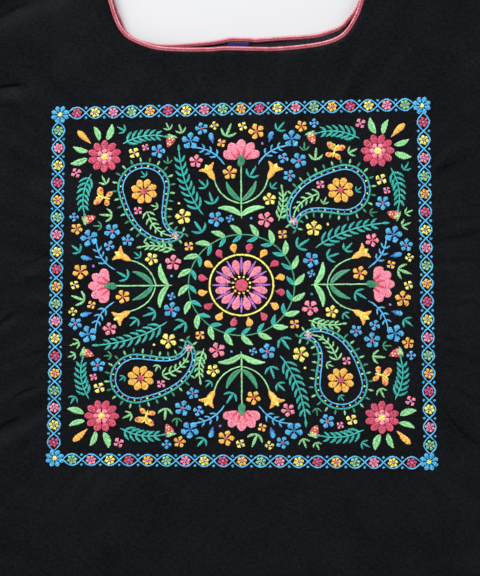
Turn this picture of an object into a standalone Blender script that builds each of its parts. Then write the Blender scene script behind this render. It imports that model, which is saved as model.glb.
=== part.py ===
"""A folding shopping bag of thin black cloth, laid flat on its back.

Two cloth panels of one pattern, front over back, are sewn together along the sides, the bottom and the tops
of the two handles. The neckline between the handles and the outer edge of each handle stay open and are
finished with a raised overlocked edging. A short tape tab is sewn inside the back edge of the neckline.

The bag lies in the XY plane, handles towards +Y, with its underside on Z = 0. All sizes are in metres.
"""

from collections import namedtuple
from math import cos, pi, radians, sin

import bmesh
import bpy
import numpy as np
from mathutils.geometry import delaunay_2d_cdt

MM = 0.001

# Size of the whole bag
BAG_WIDTH = 480 * MM
BAG_HEIGHT = 660 * MM
BOTTOM_Y = -BAG_HEIGHT / 2
TOP_Y = BAG_HEIGHT / 2

# The sewn side seams bow out a little, widest below the middle, and end at the armpits of the handles
WIDEST_Y = -150 * MM
ARMPIT_X = 236 * MM
ARMPIT_Y = 45 * MM
CORNER_RADIUS = 55 * MM

# Cloth and how the two layers lie
CLOTH_THICKNESS = 1.2 * MM
CLEARANCE = 0.3 * MM
SEAM_LEVEL = CLOTH_THICKNESS + CLEARANCE
FRONT_LOFT = 7.5 * MM
SEAM_ROLL = 34 * MM
FOLD_FADE = 20 * MM

# The overlocked edging, and the level that the front one keeps above the back one where the layers meet
EDGING_WIDTH = 3.2 * MM
EDGING_HEIGHT = 1.9 * MM
FRONT_EDGING_LEVEL = EDGING_HEIGHT + CLEARANCE

# Section of the edging, as shares of its width off the cloth and of its height
Corner = namedtuple("Corner", "off up")
EDGING_SECTION = (Corner(0, 0), Corner(0, 0.8), Corner(0.35, 1), Corner(1, 0.65), Corner(1, 0.1))

# The tape tab inside the back edge
TAB_X = -1 * MM
TAB_WIDTH = 16 * MM
TAB_LENGTH = 26 * MM
TAB_THICKNESS = 0.8 * MM
TAB_INSET = 0.5 * MM
TAB_CORNER = 1 * MM

# Mesh steps
EDGE_STEP = 10 * MM
FRONT_STEP = 11.5 * MM
BACK_STEP = 24 * MM
RIM_MARGIN = 0.55
CURVE_SAMPLES = 16
SMALLEST_STEP = 0.0001 * MM
SHARP_ANGLE = radians(50)

Point = namedtuple("Point", "x y")
Crease = namedtuple("Crease", "x1 y1 x2 y2 width height")
Lift = namedtuple("Lift", "x y radius height")

# Neckline of each panel in millimetres, from the top of the right handle round to the top of the left one
FRONT_NECKLINE = (
    Point(104, 330), Point(107, 262), Point(107, 200), Point(101, 150), Point(89.3, 106.7),
    Point(83.4, 91.6), Point(75.2, 80.6), Point(62.8, 74.8), Point(43.5, 71.6), Point(24.3, 70.1),
    Point(10.4, 70.2), Point(-11.6, 70.5), Point(-19.9, 69.8), Point(-39.1, 69.6), Point(-55.7, 70.4),
    Point(-66.7, 72.7), Point(-78.4, 77.5), Point(-85.2, 83.0), Point(-90.1, 91.6), Point(-94.9, 106.7),
    Point(-105, 150), Point(-110, 200), Point(-109, 262), Point(-104, 330),
)
BACK_NECKLINE = (
    Point(104, 330), Point(106, 262), Point(105.5, 200), Point(99.8, 150), Point(88.0, 106.2),
    Point(79.3, 92.1), Point(72.6, 85.9), Point(57.8, 80.6), Point(43.7, 79.0), Point(24.4, 77.8),
    Point(7.7, 76.5), Point(-8.1, 76.5), Point(-20.0, 75.0), Point(-39.1, 73.2), Point(-57.2, 72.7),
    Point(-73.8, 76.2), Point(-83.0, 82.3), Point(-87.9, 92.1), Point(-93.0, 105.8),
    Point(-104, 150), Point(-108.5, 200), Point(-108, 262), Point(-104, 330),
)

# Outer edge of the right handle in millimetres, from the armpit to the top; the left one mirrors it
HANDLE_OUTER_EDGE = (
    Point(236, 45), Point(228, 78), Point(212, 118), Point(198, 165),
    Point(190, 215), Point(185, 270), Point(182, 330),
)
FRONT_HANDLE_TUCK = 1.5 * MM

# Main folds of the front, in millimetres: each a soft ridge, or a trough where the height is negative
FRONT_CREASES = (
    Crease(-212, 84, -118, 119, 9, -2.4),
    Crease(-205, 106, -128, 140, 12, 1.8),
    Crease(-200, 42, -150, 45, 7, -1.6),
    Crease(-158, 48, -136, 8, 10, 1.2),
    Crease(-134, -86, -168, -108, 8, 1.0),
    Crease(-134, -107, -182, -141, 9, 1.2),
    Crease(-134, -130, -178, -174, 9, 1.2),
    Crease(-134, -170, -188, -196, 9, 1.3),
    Crease(-150, -189, -204, -221, 8, -1.5),
    Crease(134, -36, 166, -30, 8, 0.8),
    Crease(134, -53, 192, -51, 9, 1.1),
    Crease(136, -98, 174, -125, 9, 1.1),
    Crease(136, -127, 180, -154, 9, 1.2),
    Crease(140, -183, 190, -241, 8, -1.5),
    Crease(-73, 69, -44, 38, 8, -0.9),
    Crease(-42, 66, -1, 37, 8, -1.0),
    Crease(45, 64, 36, 40, 9, 0.7),
    Crease(-4, -246, -52, -296, 9, -1.1),
    Crease(18, -232, 16, -280, 9, 0.9),
    Crease(48, -232, 42, -276, 9, 0.8),
    Crease(-168, -290, -142, -304, 8, -1.0),
    Crease(-134, -262, -118, -318, 9, 1.0),
    Crease(120, -262, 150, -312, 10, 1.0),
    Crease(150, 175, 128, 215, 13, -1.0),
    Crease(-165, 205, -140, 250, 13, -1.0),
)

# Places where the free edge of the back lifts off the surface, in millimetres
BACK_LIFTS = (
    Lift(58, 82, 26, 1.3),
    Lift(-62, 74, 22, 0.8),
    Lift(-192, 210, 30, 1.0),
    Lift(108, 210, 30, 0.9),
)

BLACK_CLOTH = ("black_cloth", (0.011, 0.012, 0.014, 1), 0.7)
PINK_THREAD = ("pink_thread", (0.72, 0.17, 0.20, 1), 0.55)
BLUE_TAPE = ("blue_tape", (0.035, 0.04, 0.28, 1), 0.5)


def clear_scene():
    for obj in list(bpy.data.objects):
        bpy.data.objects.remove(obj, do_unlink=True)


def make_material(name, colour, roughness):
    material = bpy.data.materials.new(name)
    material.use_nodes = True
    shader = material.node_tree.nodes["Principled BSDF"]
    shader.inputs["Base Color"].default_value = colour
    shader.inputs["Roughness"].default_value = roughness
    shader.inputs["Metallic"].default_value = 0.0
    return material


def resample(path, step):
    """The same line in even steps of about one step each, its two ends kept."""
    path = np.asarray(path, float)
    lengths = np.linalg.norm(np.diff(path, axis=0), axis=1)
    along = np.concatenate([[0.0], np.cumsum(lengths)])
    count = max(2, round(along[-1] / step) + 1)
    wanted = np.linspace(0, along[-1], count)
    return np.column_stack([np.interp(wanted, along, path[:, axis]) for axis in (0, 1)])


def smooth_curve(points, step):
    """A Catmull-Rom curve through table points in millimetres, in even steps."""
    knots = np.array(points, float) * MM
    knots = np.vstack([2 * knots[0] - knots[1], knots, 2 * knots[-1] - knots[-2]])
    curve = []
    for before, start, end, after in zip(knots, knots[1:], knots[2:], knots[3:]):
        for t in np.arange(CURVE_SAMPLES) / CURVE_SAMPLES:
            curve.append(
                0.5 * (2 * start + (end - before) * t
                       + (2 * before - 5 * start + 4 * end - after) * t**2
                       + (3 * start - before - 3 * end + after) * t**3)
            )
    curve.append(knots[-2])
    return resample(curve, step)


def sewn_edge(step):
    """The seam from the left armpit down the side, round the bottom corners and up to the right armpit."""
    half_width = BAG_WIDTH / 2
    bow = (half_width - ARMPIT_X) / (ARMPIT_Y - WIDEST_Y) ** 2
    corner_y = BOTTOM_Y + CORNER_RADIUS
    side_y = np.linspace(ARMPIT_Y, corner_y, 2 * CURVE_SAMPLES)
    side = [(half_width - bow * (y - WIDEST_Y) ** 2, y) for y in side_y]
    corner_x = side[-1][0] - CORNER_RADIUS
    corner = [
        (corner_x + CORNER_RADIUS * cos(turn), corner_y - CORNER_RADIUS * sin(turn))
        for turn in np.linspace(0, pi / 2, CURVE_SAMPLES)[1:]
    ]
    right = side + corner
    left = [(-x, y) for x, y in right]
    return resample(left + right[::-1], step)


def handle_outer_edge(tuck):
    """Outer edge of the right handle, drawn in by up to one tuck at mid-length."""
    edge = smooth_curve(HANDLE_OUTER_EDGE, EDGE_STEP)
    share = np.linspace(0, 1, len(edge))
    edge[:, 0] -= tuck * np.sin(pi * share)
    return edge


def panel_sections(neckline, tuck):
    """Outline of a panel as named open sections, which run counter-clockwise and share their end points."""
    right_edge = handle_outer_edge(tuck)
    left_edge = (right_edge * (-1, 1))[::-1]
    neck = smooth_curve(neckline, EDGE_STEP)
    return {
        "seam": sewn_edge(EDGE_STEP),
        "right_handle": right_edge,
        "right_top": resample([right_edge[-1], neck[0]], EDGE_STEP),
        "neck": neck,
        "left_top": resample([neck[-1], left_edge[0]], EDGE_STEP),
        "left_handle": left_edge,
    }


def outline_of(sections):
    return np.vstack([section[:-1] for section in sections.values()])


def distance_to_line(points, line):
    """Distance from each point to the nearest place on an open line, in plan."""
    points = np.asarray(points, float)[:, None, :]
    start = line[:-1][None]
    run = line[1:][None] - start
    share = np.clip(((points - start) * run).sum(2) / (run**2).sum(2), 0, 1)
    return np.linalg.norm(points - start - share[..., None] * run, axis=2).min(1)


def fold_height(points, creases):
    """Height that the creases add at each point. A crease fades out towards both of its ends."""
    points = np.asarray(points, float)
    total = np.zeros(len(points))
    for crease in creases:
        start = np.array([crease.x1, crease.y1]) * MM
        run = np.array([crease.x2, crease.y2]) * MM - start
        length = np.linalg.norm(run)
        along = (points - start) @ run / length
        across = ((points - start) @ np.array([-run[1], run[0]])) / length
        over = np.maximum(0, np.abs(along - length / 2) - length / 4)
        reach = np.exp(-((over / (length / 4)) ** 2) - (across / (crease.width * MM)) ** 2)
        total += crease.height * MM * reach
    return total


def front_underside(points, sections):
    """Height of the front panel's underside. It rolls up from the seams and stands loosely over the back."""
    seams = [sections["seam"], sections["right_top"], sections["left_top"]]
    from_seam = np.min([distance_to_line(points, seam) for seam in seams], axis=0)
    roll = np.sin(pi / 2 * np.minimum(1, from_seam / SEAM_ROLL))
    fade = np.minimum(1, from_seam / FOLD_FADE)
    return SEAM_LEVEL + FRONT_LOFT * roll + fade * fold_height(points, FRONT_CREASES)


def back_underside(points, sections):
    """Height of the back panel's underside, flat on the surface but for a few lifted stretches of free edge."""
    points = np.asarray(points, float)
    seams = [sections["seam"], sections["right_top"], sections["left_top"]]
    from_seam = np.min([distance_to_line(points, seam) for seam in seams], axis=0)
    total = np.zeros(len(points))
    for lift in BACK_LIFTS:
        away = np.linalg.norm(points - np.array([lift.x, lift.y]) * MM, axis=1)
        total += lift.height * MM * np.maximum(0, 1 - (away / (lift.radius * MM)) ** 2)
    return np.where(from_seam > FOLD_FADE, total, 0)


def inside(points, outline):
    """Whether each point lies inside the closed outline, by counting the crossings of a ray along +X."""
    x, y = points[:, 0][:, None], points[:, 1][:, None]
    x1, y1 = outline[:, 0], outline[:, 1]
    x2, y2 = np.roll(x1, -1), np.roll(y1, -1)
    crosses = (y1 > y) != (y2 > y)
    rise = np.where(y2 == y1, 1, y2 - y1)
    return (crosses & (x < x1 + (y - y1) * (x2 - x1) / rise)).sum(1) % 2 == 1


def filling_points(outline, step):
    """A triangular grid of points that keeps the rim margin, a share of the step, clear of the outline."""
    row_step = step * sin(radians(60))
    low, high = outline.min(0), outline.max(0)
    rows = np.arange(low[1], high[1], row_step)
    grid = np.array([
        (x + (index % 2) * step / 2, y)
        for index, y in enumerate(rows)
        for x in np.arange(low[0], high[0], step)
    ])
    grid = grid[inside(grid, outline)]
    return grid[distance_to_line(grid, np.vstack([outline, outline[:1]])) > RIM_MARGIN * step]


def finish_object(name, mesh, material):
    mesh.materials.append(material)
    mesh.shade_smooth()
    mesh.set_sharp_from_angle(angle=SHARP_ANGLE)
    obj = bpy.data.objects.new(name, mesh)
    bpy.context.scene.collection.objects.link(obj)
    return obj


def cloth_panel(name, sections, underside, step, material):
    """One cloth panel: its outline filled with triangles, laid on its folds and given the cloth's thickness."""
    outline = outline_of(sections)
    points = np.vstack([outline, filling_points(outline, step)])
    flat, _, faces, *_ = delaunay_2d_cdt(
        [tuple(point) for point in points], [], [list(range(len(outline)))], 1, SMALLEST_STEP
    )
    flat = np.array([tuple(point) for point in flat])
    heights = underside(flat, sections)
    bm = bmesh.new()
    verts = [bm.verts.new((x, y, z)) for (x, y), z in zip(flat, heights)]
    for face in faces:
        bm.faces.new([verts[index] for index in face])
    top = bmesh.ops.extrude_face_region(bm, geom=list(bm.faces))
    top_verts = [item for item in top["geom"] if isinstance(item, bmesh.types.BMVert)]
    bmesh.ops.translate(bm, vec=(0, 0, CLOTH_THICKNESS), verts=top_verts)
    bmesh.ops.recalc_face_normals(bm, faces=list(bm.faces))
    mesh = bpy.data.meshes.new(name)
    bm.to_mesh(mesh)
    bm.free()
    return finish_object(name, mesh, material)


def outward_normals(line):
    """Unit normals in plan at each point of a counter-clockwise section, pointing off the cloth."""
    run = np.gradient(line, axis=0)
    normals = np.column_stack([run[:, 1], -run[:, 0]])
    return normals / np.linalg.norm(normals, axis=1)[:, None]


def edging(name, line, levels, material):
    """A raised edging swept along a free edge, one clearance off the panel's rim, with a rounded crown."""
    bm = bmesh.new()
    rings = []
    for point, normal, level in zip(line, outward_normals(line), levels):
        rim = point + normal * CLEARANCE
        rings.append([
            bm.verts.new((*(rim + normal * corner.off * EDGING_WIDTH), level + corner.up * EDGING_HEIGHT))
            for corner in EDGING_SECTION
        ])
    for ring, following in zip(rings, rings[1:]):
        for index in range(len(ring)):
            after = (index + 1) % len(ring)
            bm.faces.new([ring[index], ring[after], following[after], following[index]])
    bm.faces.new(rings[0])
    bm.faces.new(rings[-1][::-1])
    bmesh.ops.recalc_face_normals(bm, faces=list(bm.faces))
    mesh = bpy.data.meshes.new(name)
    bm.to_mesh(mesh)
    bm.free()
    return finish_object(name, mesh, material)


def tape_tab(material):
    """The flat tab that lies on the inside of the back panel, hanging from the middle of its neckline."""
    neckline = smooth_curve(BACK_NECKLINE, EDGE_STEP)
    low_stretch = neckline[neckline[:, 1] < TOP_Y / 2]
    top_y = low_stretch[np.abs(low_stretch[:, 0] - TAB_X).argmin(), 1] - TAB_INSET
    bm = bmesh.new()
    bmesh.ops.create_cube(bm, size=1)
    bmesh.ops.scale(bm, vec=(TAB_WIDTH, TAB_LENGTH, TAB_THICKNESS), verts=bm.verts)
    bmesh.ops.translate(
        bm, vec=(TAB_X, top_y - TAB_LENGTH / 2, SEAM_LEVEL + TAB_THICKNESS / 2), verts=bm.verts
    )
    upright = [edge for edge in bm.edges if abs(edge.verts[0].co.z - edge.verts[1].co.z) > TAB_THICKNESS / 2]
    bmesh.ops.bevel(bm, geom=upright, offset=TAB_CORNER, segments=2, affect="EDGES", profile=0.5)
    mesh = bpy.data.meshes.new("tape_tab")
    bm.to_mesh(mesh)
    bm.free()
    return finish_object("tape_tab", mesh, material)


def edgings_of(side, sections, underside, least_level, material):
    """The edging of a panel's neckline and of the outer edge of each of its handles."""
    for section in ("neck", "right_handle", "left_handle"):
        line = sections[section]
        levels = np.maximum(underside(line, sections), least_level)
        edging(f"{side}_{section}_edging", line, levels, material)


def build_bag():
    black = make_material(*BLACK_CLOTH)
    pink = make_material(*PINK_THREAD)
    blue = make_material(*BLUE_TAPE)
    front = panel_sections(FRONT_NECKLINE, FRONT_HANDLE_TUCK)
    back = panel_sections(BACK_NECKLINE, 0)
    cloth_panel("front_panel", front, front_underside, FRONT_STEP, black)
    cloth_panel("back_panel", back, back_underside, BACK_STEP, black)
    edgings_of("front", front, front_underside, FRONT_EDGING_LEVEL, pink)
    edgings_of("back", back, back_underside, 0, pink)
    tape_tab(blue)


clear_scene()
build_bag()
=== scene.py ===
"""The looks of a folding shopping bag of thin black nylon, laid flat on its back.

The front carries a square of machine embroidery. The neckline and the outer edges of the handles are
overlocked in pink thread, and a short blue tape loop is sewn inside the back of the neckline. Sizes of the
bag are in metres. The embroidery is drawn in millimetres, as complex numbers with X to the right and Y up.
"""

import cmath
from collections import defaultdict, namedtuple
from functools import partial
from math import cos, pi, radians, sin

import bmesh
import bpy
import numpy as np
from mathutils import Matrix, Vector
from mathutils.geometry import delaunay_2d_cdt
from mathutils.kdtree import KDTree


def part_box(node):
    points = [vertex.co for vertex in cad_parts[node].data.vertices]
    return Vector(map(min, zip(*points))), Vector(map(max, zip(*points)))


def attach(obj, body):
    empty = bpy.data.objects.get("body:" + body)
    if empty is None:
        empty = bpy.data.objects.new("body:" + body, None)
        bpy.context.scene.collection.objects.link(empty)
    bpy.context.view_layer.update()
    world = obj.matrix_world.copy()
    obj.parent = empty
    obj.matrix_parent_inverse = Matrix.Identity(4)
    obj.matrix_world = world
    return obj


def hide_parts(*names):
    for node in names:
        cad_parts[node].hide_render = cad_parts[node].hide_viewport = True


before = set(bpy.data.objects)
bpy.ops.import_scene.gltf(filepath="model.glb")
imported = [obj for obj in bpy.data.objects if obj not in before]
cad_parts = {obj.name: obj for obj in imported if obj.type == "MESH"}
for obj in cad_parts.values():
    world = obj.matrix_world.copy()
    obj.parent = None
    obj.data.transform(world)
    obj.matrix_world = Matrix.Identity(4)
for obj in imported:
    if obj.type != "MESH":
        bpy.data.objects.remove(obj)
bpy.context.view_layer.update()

MM = 0.001

# Size and cut of the bag, as its solids have them
BAG_WIDTH = 480 * MM
BAG_HEIGHT = 660 * MM
BOTTOM_Y = -BAG_HEIGHT / 2
TOP_Y = BAG_HEIGHT / 2
WIDEST_Y = -150 * MM
ARMPIT_X = 236 * MM
ARMPIT_Y = 45 * MM
CORNER_RADIUS = 55 * MM
SOLID_CLOTH = 1.2 * MM
SEAM_LEVEL = 1.5 * MM
FRONT_LOFT = 7.5 * MM
SEAM_ROLL = 34 * MM
FOLD_FADE = 20 * MM
FRONT_HANDLE_TUCK = 1.5 * MM

# The cloth as it is shown: thinner than its solid, at the front's upper face and the back's lower one
CLOTH = 0.4 * MM
SEWN_SECTIONS = ("seam", "right_top", "left_top")

# How far apart the cloth's points lie, along its edges too and along the seams that distances are taken from,
# and the least share of such a step that is kept clear round each point of an edge or a crease
FRONT_STEP = 3.0 * MM
BACK_STEP = 7 * MM
EDGE_STEP = 3 * MM
SEAM_STEP = 10 * MM
LEAST_SPACING = 0.6
CURVE_SAMPLES = 16

# The triangulation keeps the faces inside the outline and merges points this close. Long lists of points are
# worked through in blocks.
FACES_INSIDE = 1
WELD_DISTANCE = 1e-7
BLOCK = 4000

# The sewn edge between the two panels, and the overlocked free edges
SEAM_BEAD_WIDTH = 2.2 * MM
SEAM_BEAD_PROUD = 0.3 * MM
OVERLOCK_WIDTH = 3.1 * MM
OVERLOCK_PITCH = 0.85 * MM
OVERLOCK_THREAD = 0.46 * MM
OVERLOCK_HALF_HEIGHT = 0.55 * MM
# The core's deep red is painted shade. It shows between the loops, in the gap at the needle line, and as a
# thin painted shadow line where it reaches CORE_OVERLAP in over the cloth.
CORE_WIDTH = 3.2 * MM
CORE_HALF_HEIGHT = 0.4 * MM
CORE_OVERLAP = 0.55 * MM
NEEDLE_LINE = 1.35 * MM
NEEDLE_GAP = 0.3 * MM
NEEDLE_PITCH = 1.3 * MM
NEEDLE_BEAD = (0.26 * MM, 0.26 * MM, 0.4 * MM)

# The tape loop, and the bulge of the neckline's edging over it
TAB_X = -1 * MM
TAB_WIDTH = 16 * MM
TAB_LENGTH = 26 * MM
TAPE = 0.45 * MM
TAPE_GAP = 0.25 * MM
TAPE_STEP = 0.8 * MM
TAB_BULGE = 0.9 * MM
TAB_BULGE_REACH = 0.62 * TAB_WIDTH

# The embroidered square, in millimetres: half the side that it is drawn with, and its corners on the bag
DESIGN_HALF = 135.0
TOP_LEFT = -135.4 + 29.7j
TOP_RIGHT = 136.8 + 36.9j
BOTTOM_RIGHT = 142.6 - 231.7j
BOTTOM_LEFT = -139.7 - 228.8j

# Its stitches, in millimetres: the steps between them in satin and in stem stitch, how many steps a stem
# stitch reaches, the longest satin stitch that isn't broken up, the share of the drawn width that they fill,
# the length of fill stitches, and how uneven their ends are
PITCH = 0.54
STEM_ADVANCE = 0.95
STEM_REACH = 3
LONGEST_SATIN = 4.4
SLIMNESS = 0.89
FILL_STITCH = 3.0
RAGGED = 0.1

# How much higher each layer of stitches lies, and the radius of their thread
LAYER = 0.2 * MM
THREAD_RADIUS = 0.32 * MM

# The picture: its height in pixels, and the place and size that it shows at the bag's front. The camera's
# distance and the floor's reach are in metres, and the sensor's height in millimetres.
IMAGE_HEIGHT = 576
PIXEL = 0.72 * MM
VIEW_CENTRE = Vector((0, -100.6 * MM, 9 * MM))
CAMERA_DISTANCE = 3.2
SENSOR = 24
FLOOR_REACH = 4
FLOOR_LEVEL = -0.2 * MM

Point = namedtuple("Point", "x y")
Crease = namedtuple("Crease", "x1 y1 x2 y2 width height")
SharpCrease = namedtuple("SharpCrease", "x1 y1 x2 y2 bow width depth")
Lift = namedtuple("Lift", "x y radius height")
Wave = namedtuple("Wave", "length turn phase height")
RadialPucker = namedtuple("RadialPucker", "count twist phase height")
Filler = namedtuple("Filler", "least_room margin largest petals heart threads")
Run = namedtuple("Run", "thread starts ends level")
Light = namedtuple("Light", "name place size power")

# Square lights, in metres and watts
LIGHTS = [Light(*row) for row in (
    ("key", (-0.9, 1.5, 1.3), 0.8, 66),
    ("fill", (0.7, -0.5, 1.9), 1.5, 15),
)]

# Outlines in millimetres, as in the solids
FRONT_NECKLINE = [Point(*row) for row in (
    (104, 330), (107, 262), (107, 200), (101, 150), (89.3, 106.7), (83.4, 91.6),
    (75.2, 80.6), (62.8, 74.8), (43.5, 71.6), (24.3, 70.1), (10.4, 70.2), (-11.6, 70.5),
    (-19.9, 69.8), (-39.1, 69.6), (-55.7, 70.4), (-66.7, 72.7), (-78.4, 77.5), (-85.2, 83.0),
    (-90.1, 91.6), (-94.9, 106.7), (-105, 150), (-110, 200), (-109, 262), (-104, 330),
)]
BACK_NECKLINE = [Point(*row) for row in (
    (104, 330), (106, 262), (105.5, 200), (99.8, 150), (88.0, 106.2), (79.3, 92.1),
    (72.6, 85.9), (57.8, 80.6), (43.7, 79.0), (24.4, 77.8), (7.7, 76.5), (-8.1, 76.5),
    (-20.0, 75.0), (-39.1, 73.2), (-57.2, 72.7), (-73.8, 76.2), (-83.0, 82.3), (-87.9, 92.1),
    (-93.0, 105.8), (-104, 150), (-108.5, 200), (-108, 262), (-104, 330),
)]
HANDLE_OUTER_EDGE = [Point(*row) for row in (
    (236, 45), (228, 78), (212, 118), (198, 165), (190, 215), (185, 270), (182, 330),
)]

# Main folds of the front, as in the solids, in millimetres
FRONT_CREASES = [Crease(*row) for row in (
    (-212, 84, -118, 119, 9, -2.4), (-205, 106, -128, 140, 12, 1.8), (-200, 42, -150, 45, 7, -1.6),
    (-158, 48, -136, 8, 10, 1.2), (-134, -86, -168, -108, 8, 1.0), (-134, -107, -182, -141, 9, 1.2),
    (-134, -130, -178, -174, 9, 1.2), (-134, -170, -188, -196, 9, 1.3), (-150, -189, -204, -221, 8, -1.5),
    (134, -36, 166, -30, 8, 0.8), (134, -53, 192, -51, 9, 1.1), (136, -98, 174, -125, 9, 1.1),
    (136, -127, 180, -154, 9, 1.2), (140, -183, 190, -241, 8, -1.5), (-73, 69, -44, 38, 8, -0.9),
    (-42, 66, -1, 37, 8, -1.0), (45, 64, 36, 40, 9, 0.7), (-4, -246, -52, -296, 9, -1.1),
    (18, -232, 16, -280, 9, 0.9), (48, -232, 42, -276, 9, 0.8), (-168, -290, -142, -304, 8, -1.0),
    (-134, -262, -118, -318, 9, 1.0), (120, -262, 150, -312, 10, 1.0), (150, 175, 128, 215, 13, -1.0),
    (-165, 205, -140, 250, 13, -1.0),
)]
BACK_LIFTS = [Lift(*row) for row in (
    (58, 82, 26, 1.3), (-62, 74, 22, 0.8), (-192, 210, 30, 1.0), (108, 210, 30, 0.9),
)]

# Sharp creases in the front, in millimetres, each bowed by a share of its length
SHARP_CREASES = [SharpCrease(*row) for row in (
    (-186, 41, -153, 46, 0.04, 1.9, -1.5), (-178, 31, -160, 33, -0.10, 2.4, -0.4),
    (-180, -136, -150, -111, 0.10, 1.5, -0.7), (-152, -111, -136, -115, 0.08, 2.6, -0.4),
    (-168, -185, -142, -172, 0.12, 1.4, -0.8), (-186, -212, -157, -193, 0.06, 2.0, -1.5),
    (-158, -84, -136, -74, -0.05, 2.6, -0.6), (-162, -98, -136, -92, 0.05, 2.8, -0.5),
    (-156, -152, -138, -145, 0.08, 2.2, -0.7), (-172, -158, -152, -142, 0.05, 3.4, -0.6),
    (-164, -222, -146, -208, 0.06, 2.2, -0.5), (-176, -240, -166, -232, 0.05, 1.8, -0.5),
    (-172, 62, -140, 58, -0.06, 3.2, -0.3), (140, -52, 176, -50, 0.03, 2.6, -0.5),
    (141, -66, 178, -58, -0.04, 3.0, -0.4), (142, -88, 170, -78, 0.05, 2.6, -0.4),
    (141, -16, 168, -10, 0.06, 2.8, -0.3), (143, -116, 172, -106, -0.05, 2.4, -0.4),
    (144, -140, 168, -136, 0.07, 2.4, -0.4), (146, -186, 172, -214, -0.06, 1.6, -0.8),
    (142, -198, 158, -224, -0.05, 1.8, -0.6), (138, -238, 144, -262, 0.06, 2.2, -0.4),
    (152, -172, 178, -190, 0.05, 2.2, -0.5), (-58, 66, -50, 44, 0.10, 2.6, -0.3),
    (-8, 64, 12, 42, -0.06, 3.0, -0.3), (66, 66, 92, 44, 0.06, 3.0, -0.4),
    (16, -238, 14, -262, 0.05, 2.2, -0.3), (36, -238, 40, -256, -0.05, 2.2, -0.3),
    (-30, -262, -50, -288, 0.04, 3.2, -0.5), (-122, -292, -106, -306, 0.08, 2.4, -0.6),
    (-180, 90, -148, 106, 0.05, 2.6, -1.0), (-176, -130, -144, -113, 0.08, 2.0, -0.6),
)]

# Across a sharp crease there is a low lip, then a steep step down, from which the cloth rises slowly. The
# lip's height is a share of the crease's depth. Places across it are in crease widths.
CREASE_STEEPNESS = 7
CREASE_RECOVERY = 3
CREASE_FADE = 4.5
EXPONENT_LIMIT = 30
LIP_SHARE = 0.25
LIP_PLACE = 0.8
LIP_WIDTH = 0.6
CREASE_ROWS = (-2.2, -1.1, -0.45, -0.15, 0.15, 0.45, 0.9, 1.6)

# Slow unevenness of the loose front cloth: wavelength and height in millimetres, direction in degrees
UNEVENNESS = [Wave(*row) for row in (
    (61, 20, 0.4, 0.16), (43, 105, 1.9, 0.12), (29, 62, 4.1, 0.07), (23, 151, 2.6, 0.06),
    (15, 38, 5.2, 0.04), (12.5, 118, 0.9, 0.035),
)]

# Puckers between the stitched motifs, in the same terms
PUCKERS = [Wave(*row) for row in (
    (17, 12, 0.7, 0.10), (13, 97, 3.3, 0.10), (11, 51, 1.2, 0.07), (9.5, 140, 2.2, 0.06),
)]

# The middle of the square, how far out from it the stitches draw the cloth in, and the rim where that fades
SQUARE_MIDDLE = (1.5 * MM, -98.5 * MM)
SQUARE_REACH = 128 * MM
SQUARE_RIM = 10 * MM

# Small folds that run outwards from the square: how many there are round it, their twist in radians for each
# millimetre and their height in millimetres. The last two rows give distances from the square's middle, and
# the strength of the folds there.
RADIAL_PUCKERS = [RadialPucker(*row) for row in (
    (61, 0.03, 0.5, 0.44), (83, -0.05, 2.3, 0.40), (47, 0.02, 4.0, 0.36),
    (104, 0.04, 1.1, 0.24), (37, -0.03, 5.2, 0.34),
)]
RADIAL_FADE = (
    (127, 137, 160, 205),
    (0, 1, 0.65, 0),
)

# The wreath and the border of the square, in millimetres from its middle. The border has this many eyes on
# each side of its middle one.
WREATH_RADIUS = 37.2
BORDER_LINE = 129.9
BORDER_WAVE = 13.0
BORDER_SWING = 4.4
BORDER_EYES = 9
BORDER_CORNER = 129.0 + 129.0j

# Small motifs for bare places, all in millimetres
FILLERS = (
    Filler(5.8, 2.4, 5.4, 5, "crimson", (
        "sky", "teal", "amber", "leaf_green", "pink", "sky", "yellow", "teal",
    )),
    Filler(4.4, 2.0, 5.8, 4, "violet", ("leaf_green", "sky", "teal", "pink", "amber", "green", "yellow")),
)

# A wave texture repeats its bands this many times for each unit of its scale
BANDS_PER_SCALE = pi / 10

# Colours of the embroidery threads
THREADS = {
    "sky": "#4aacd9",
    "blue": "#2c68b4",
    "teal": "#28a99d",
    "green": "#348c66",
    "leaf_green": "#8bcb8e",
    "amber": "#f3ba52",
    "yellow": "#eee672",
    "pink": "#f28fa4",
    "crimson": "#cc4a68",
    "violet": "#b272cc",
}


# Node and colour helpers

def linear(hex_colour):
    """An sRGB hex colour as linear RGBA."""
    values = [int(hex_colour[place:place + 2], 16) / 255 for place in (1, 3, 5)]
    return [v / 12.92 if v <= 0.04045 else ((v + 0.055) / 1.055) ** 2.4 for v in values] + [1.0]


def per_mm(size):
    """The scale, on Object coordinates, at which a pattern repeats once in this many millimetres."""
    return 1 / (size * MM)


def set_inputs(node, inputs):
    """Links each named input of a node to a socket, or sets it to a value."""
    for name, value in inputs.items():
        if isinstance(value, bpy.types.NodeSocket):
            node.id_data.links.new(value, node.inputs[name])
        else:
            node.inputs[name].default_value = value


def add_node(tree, kind, inputs=None, stops=(), **settings):
    """A new node with its settings and inputs, and a colour ramp's stops as (position, colour)."""
    node = tree.nodes.new(kind)
    for name, value in settings.items():
        setattr(node, name, value)
    for index, (position, colour) in enumerate(stops):
        node.color_ramp.elements[index].position = position
        node.color_ramp.elements[index].color = linear(colour)
    set_inputs(node, inputs or {})
    return node


def new_material(name, colour, **sockets):
    """A Principled material with its plain values on the shader's own sockets, what adds nodes to it, its
    shader, and the place on the object that its patterns read."""
    material = bpy.data.materials.new(name)
    material.use_nodes = True
    shader = material.node_tree.nodes["Principled BSDF"]
    set_inputs(shader, {socket.replace("_", " "): value for socket, value in sockets.items()})
    set_inputs(shader, {"Base Color": linear(colour)})
    add = partial(add_node, material.node_tree)
    return material, add, shader, add("ShaderNodeTexCoord").outputs["Object"]


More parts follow.
